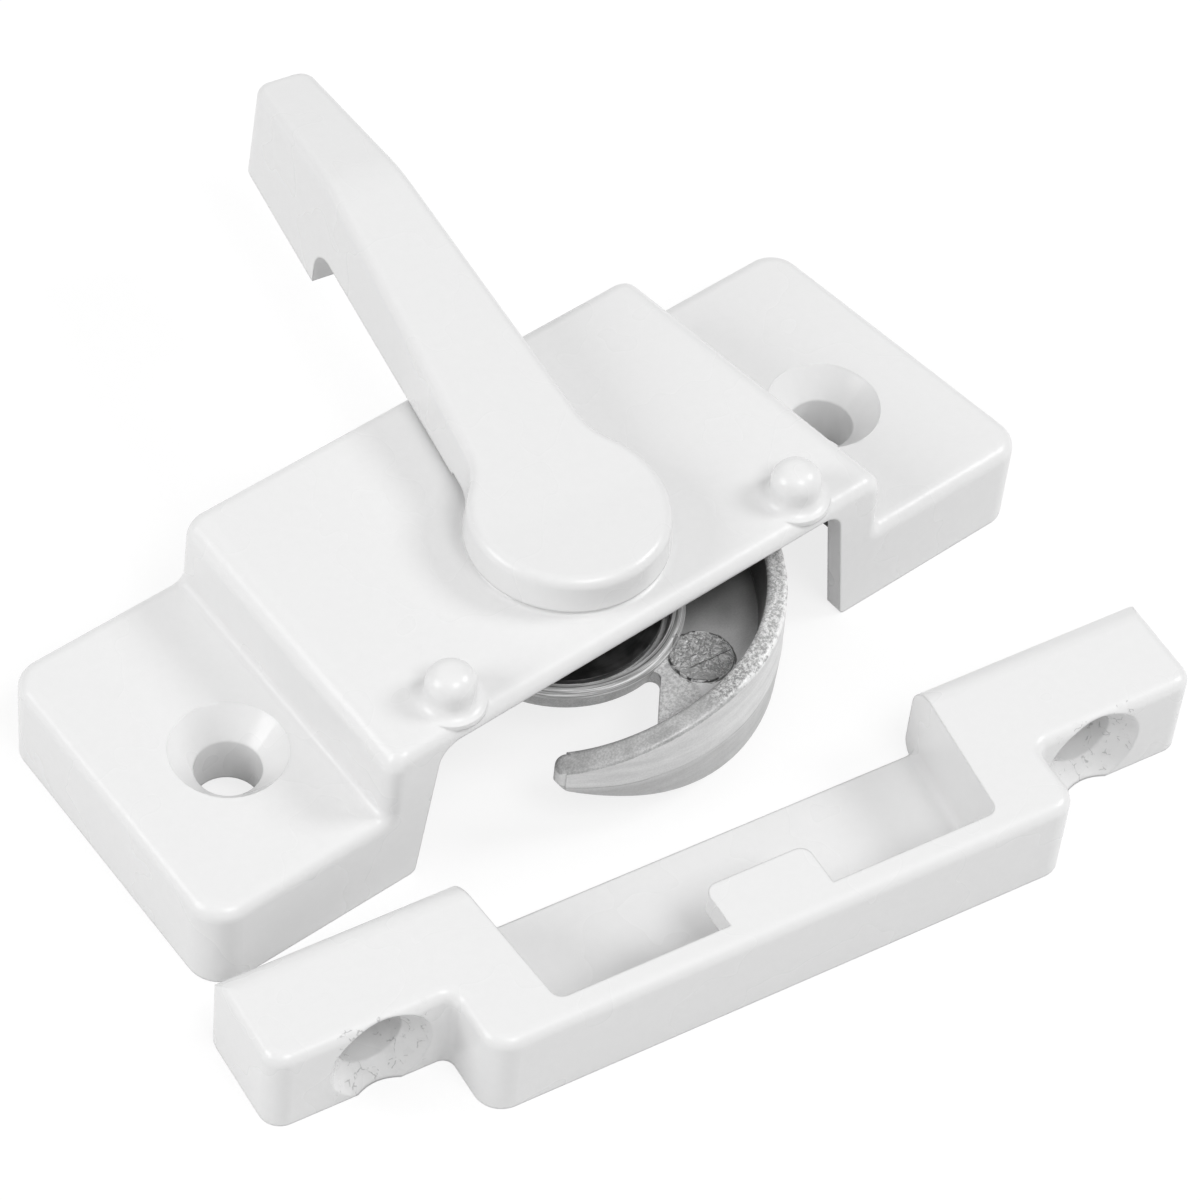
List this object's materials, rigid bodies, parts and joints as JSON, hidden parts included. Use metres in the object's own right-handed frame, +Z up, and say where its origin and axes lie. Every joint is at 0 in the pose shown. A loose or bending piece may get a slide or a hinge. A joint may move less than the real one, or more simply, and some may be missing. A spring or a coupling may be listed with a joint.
{
  "type": "sliding window lock",
  "caption": "Die-cast window lock with a pivoting lever handle that swings a crescent hook out of its open front, with the separate screw-on keeper beside it.",
  "frame": {"origin": "midway between the two screw holes of the lock body, on the surface that it is screwed to", "axes": "+X along the lock, -Y the open front where the hook swings out, +Z up out of the mounting surface"},
  "size_m": [0.086, 0.0892, 0.0223],
  "materials": {
    "white_housing": "white powder coat over a zinc die casting, satin",
    "white_lever": "white powder coat over a zinc die casting, satin",
    "white_keeper": "white powder coat over a zinc die casting, satin",
    "raw_zinc": "bare zinc die casting, grainy and tumbled",
    "spring_steel": "oiled spring steel",
    "plated_steel": "zinc-plated steel"
  },
  "bodies": {
    "fixed": {"housing": "white_housing", "keeper": "white_keeper"},
    "rotor": {"lever_handle": "white_lever", "hook_cam": "raw_zinc", "spring_washer": "spring_steel", "retaining_washer": "plated_steel"}
  },
  "joints": [
    {"name": "lever_turn", "type": "hinge", "parent": "fixed", "child": "rotor", "pos_m": [0, -0.00295, 0], "axis": [0, 0, 1], "range_deg": [-78.6, 101.4]}
  ]
}
